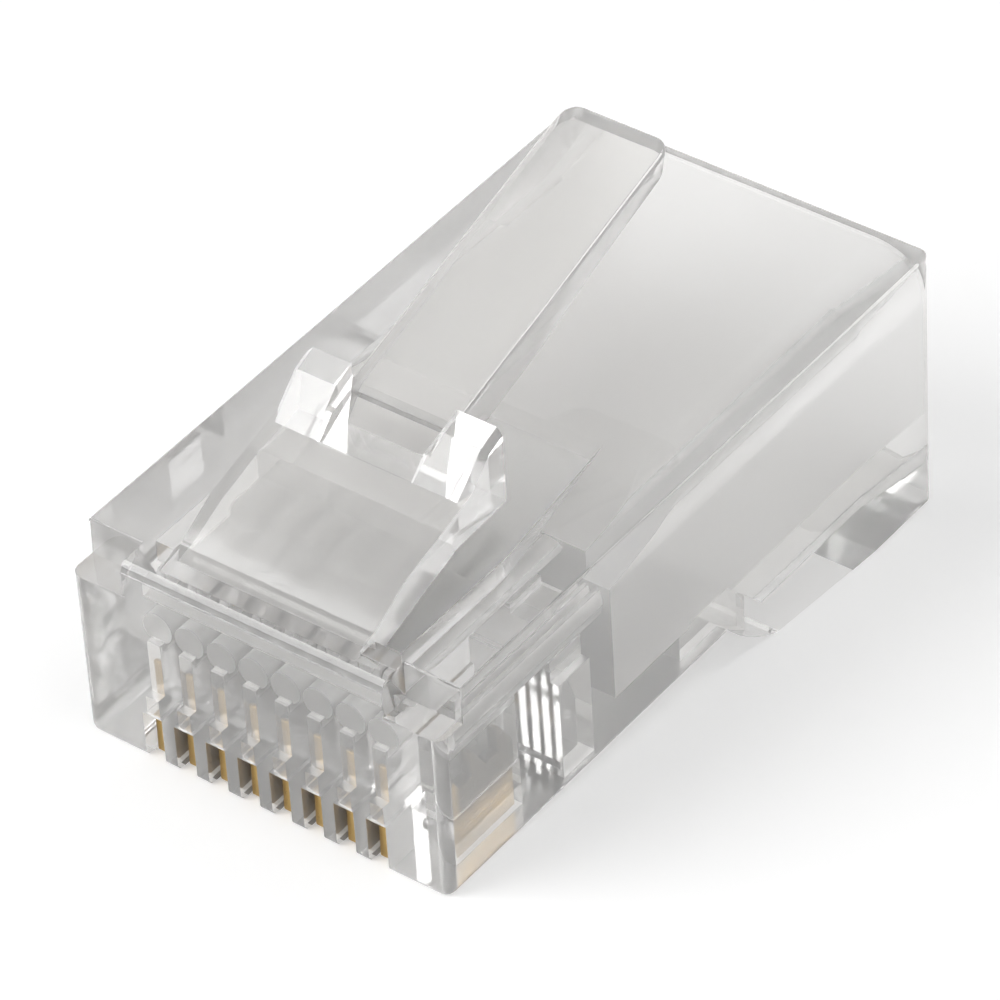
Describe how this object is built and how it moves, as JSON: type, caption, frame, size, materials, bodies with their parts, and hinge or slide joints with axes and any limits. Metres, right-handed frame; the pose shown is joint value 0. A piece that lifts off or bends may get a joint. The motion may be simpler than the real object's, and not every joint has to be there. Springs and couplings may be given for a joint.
{
  "type": "modular plug",
  "caption": "Clear moulded modular cable plug with comb-held blade contacts, sprung locking latch, keyed nose and stepped rear cable entry.",
  "frame": {"origin": "centre of the plug's outline in plan, at the level of the rear foot's flat underside", "axes": "-Y out of the mating face, +Y towards the cable entry, +Z from the contact side to the latch side, X across the width"},
  "size_m": [0.0116, 0.0214, 0.0136],
  "materials": {
    "clear_plastic": "clear colourless moulded plastic, polished",
    "gilt_contact": "copper alloy blade with thin gold plating"
  },
  "bodies": {
    "housing": {"housing": "clear_plastic"},
    "latch": {"latch": "clear_plastic"},
    "contact_1": {"contact_1": "gilt_contact"},
    "contact_2": {"contact_2": "gilt_contact"},
    "contact_3": {"contact_3": "gilt_contact"},
    "contact_4": {"contact_4": "gilt_contact"},
    "contact_5": {"contact_5": "gilt_contact"},
    "contact_6": {"contact_6": "gilt_contact"},
    "contact_7": {"contact_7": "gilt_contact"},
    "contact_8": {"contact_8": "gilt_contact"}
  },
  "joints": [
    {"name": "latch_press", "type": "hinge", "parent": "housing", "child": "latch", "pos_m": [0, -0.00955, 0.00812], "axis": [-1, 0, 0], "range_deg": [0, 15.5], "stiffness_Nm_per_rad": 0.15},
    {"name": "contact_1_crimp", "type": "slide", "parent": "housing", "child": "contact_1", "axis": [0, 0, 1], "range_m": [0, 0.0006]},
    {"name": "contact_2_crimp", "type": "slide", "parent": "housing", "child": "contact_2", "axis": [0, 0, 1], "range_m": [0, 0.0006]},
    {"name": "contact_3_crimp", "type": "slide", "parent": "housing", "child": "contact_3", "axis": [0, 0, 1], "range_m": [0, 0.0006]},
    {"name": "contact_4_crimp", "type": "slide", "parent": "housing", "child": "contact_4", "axis": [0, 0, 1], "range_m": [0, 0.0006]},
    {"name": "contact_5_crimp", "type": "slide", "parent": "housing", "child": "contact_5", "axis": [0, 0, 1], "range_m": [0, 0.0006]},
    {"name": "contact_6_crimp", "type": "slide", "parent": "housing", "child": "contact_6", "axis": [0, 0, 1], "range_m": [0, 0.0006]},
    {"name": "contact_7_crimp", "type": "slide", "parent": "housing", "child": "contact_7", "axis": [0, 0, 1], "range_m": [0, 0.0006]},
    {"name": "contact_8_crimp", "type": "slide", "parent": "housing", "child": "contact_8", "axis": [0, 0, 1], "range_m": [0, 0.0006]}
  ]
}
